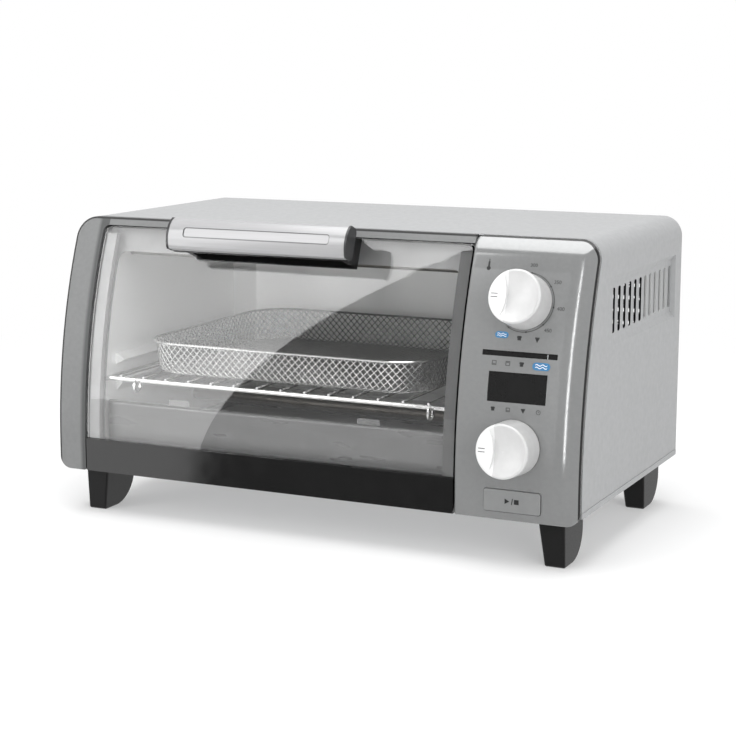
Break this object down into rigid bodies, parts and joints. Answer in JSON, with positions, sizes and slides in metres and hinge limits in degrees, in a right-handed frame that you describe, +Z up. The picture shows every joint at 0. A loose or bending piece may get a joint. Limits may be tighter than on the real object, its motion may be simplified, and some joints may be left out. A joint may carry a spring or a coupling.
{
  "type": "countertop oven",
  "caption": "Countertop toaster and air-fry oven with a drop-down glass door, wire rack and mesh basket, temperature and time knobs, start button and display.",
  "frame": {"origin": "middle of the oven's box, on the surface its feet stand on", "axes": "+X to the right seen from the front, +Y into the depth, +Z up"},
  "size_m": [0.42, 0.278, 0.231],
  "materials": {
    "satin_steel": "satin brushed sheet",
    "front_metal": "satin metallic lacquer",
    "zinc_sheet": "zinc-plated sheet",
    "black_plastic": "fine grain",
    "zinc_screws": "zinc-plated",
    "cavity_steel": "aluminised sheet",
    "heater_tube": "dark oxide",
    "ceramic_holder": "unglazed ceramic look",
    "bright_steel": "machined",
    "tray_steel": "aluminised sheet",
    "chromed_wire": "bright",
    "basket_steel": "bright wire",
    "door_glass": "polished",
    "rail_black": "gloss black",
    "handle_metal": "silver satin",
    "knob_metal": "silver satin",
    "button_metal": "satin metallic lacquer",
    "switch_body": "moulded",
    "smoked_window": "polished",
    "circuit_board": "solder mask",
    "motor_steel": "plain",
    "guard_black": "moulded"
  },
  "bodies": {
    "oven": {"casing_wrap": "satin_steel", "front_frame": "front_metal", "control_panel": "front_metal", "rear_panel": "zinc_sheet", "base_plate": "zinc_sheet", "foot_front_left": "black_plastic", "foot_front_right": "black_plastic", "foot_rear_left": "black_plastic", "foot_rear_right": "black_plastic", "foot_screws": "zinc_screws", "rear_screws": "zinc_screws", "cord_gland": "black_plastic", "cavity_shell": "cavity_steel", "cavity_front_flange": "cavity_steel", "cavity_back": "cavity_steel", "cavity_floor": "cavity_steel", "upper_heating_tubes": "heater_tube", "lower_heating_tubes": "heater_tube", "tube_holders": "ceramic_holder", "temperature_probe": "bright_steel", "crumb_tray": "tray_steel", "mode_switch": "switch_body", "time_encoder": "switch_body", "switch_nuts": "zinc_screws", "start_switch": "circuit_board", "display_window": "smoked_window", "indicator_window": "smoked_window", "display_module": "switch_body", "control_board": "circuit_board", "power_board": "circuit_board", "board_posts": "switch_body", "fan_shroud": "zinc_sheet", "motor_bracket": "zinc_sheet", "fan_motor": "motor_steel", "vent_guard": "guard_black"},
    "door": {"door_glass": "door_glass", "door_rail": "rail_black", "door_strip_left": "cavity_steel", "door_strip_right": "cavity_steel", "hinge_pins": "bright_steel", "handle_bar": "handle_metal", "handle_core": "black_plastic", "handle_cap_left": "handle_metal", "handle_cap_right": "handle_metal", "handle_bracket": "black_plastic", "handle_screws": "zinc_screws"},
    "rack": {"rack": "chromed_wire", "basket_mesh": "basket_steel", "basket_rim": "basket_steel"},
    "mode_knob": {"mode_knob": "knob_metal", "mode_shaft": "bright_steel"},
    "time_knob": {"time_knob": "knob_metal", "time_shaft": "bright_steel"},
    "start_button": {"start_button": "button_metal"},
    "fan": {"fan_wheel": "zinc_sheet", "fan_shaft": "bright_steel"}
  },
  "joints": [
    {"name": "door_hinge", "type": "hinge", "parent": "oven", "child": "door", "pos_m": [0, -0.11078, 0.0392], "axis": [1, 0, 0], "range_deg": [0, 90]},
    {"name": "rack_slide", "type": "slide", "parent": "oven", "child": "rack", "axis": [0, -1, 0], "range_m": [0, 0.06]},
    {"name": "mode_knob_turn", "type": "hinge", "parent": "oven", "child": "mode_knob", "pos_m": [0.162, -0.09598, 0.1826], "axis": [0, 0.953, -0.3028], "range_deg": [0, 315]},
    {"name": "time_knob_turn", "type": "hinge", "parent": "oven", "child": "time_knob", "pos_m": [0.162, -0.11481, 0.0851], "axis": [0, 0.9973, -0.0739], "continuous": true},
    {"name": "start_button_press", "type": "slide", "parent": "oven", "child": "start_button", "axis": [0, 1, 0], "range_m": [0, 0.0012], "stiffness_N_per_m": 600, "springref_m": -0.001},
    {"name": "fan_spin", "type": "hinge", "parent": "oven", "child": "fan", "pos_m": [0.112, 0.00202, 0.1446], "axis": [1, 0, 0], "continuous": true}
  ],
  "couplings": [
    {"joint": "rack_slide", "follows": "door_hinge", "m_per_rad": 0.038}
  ]
}
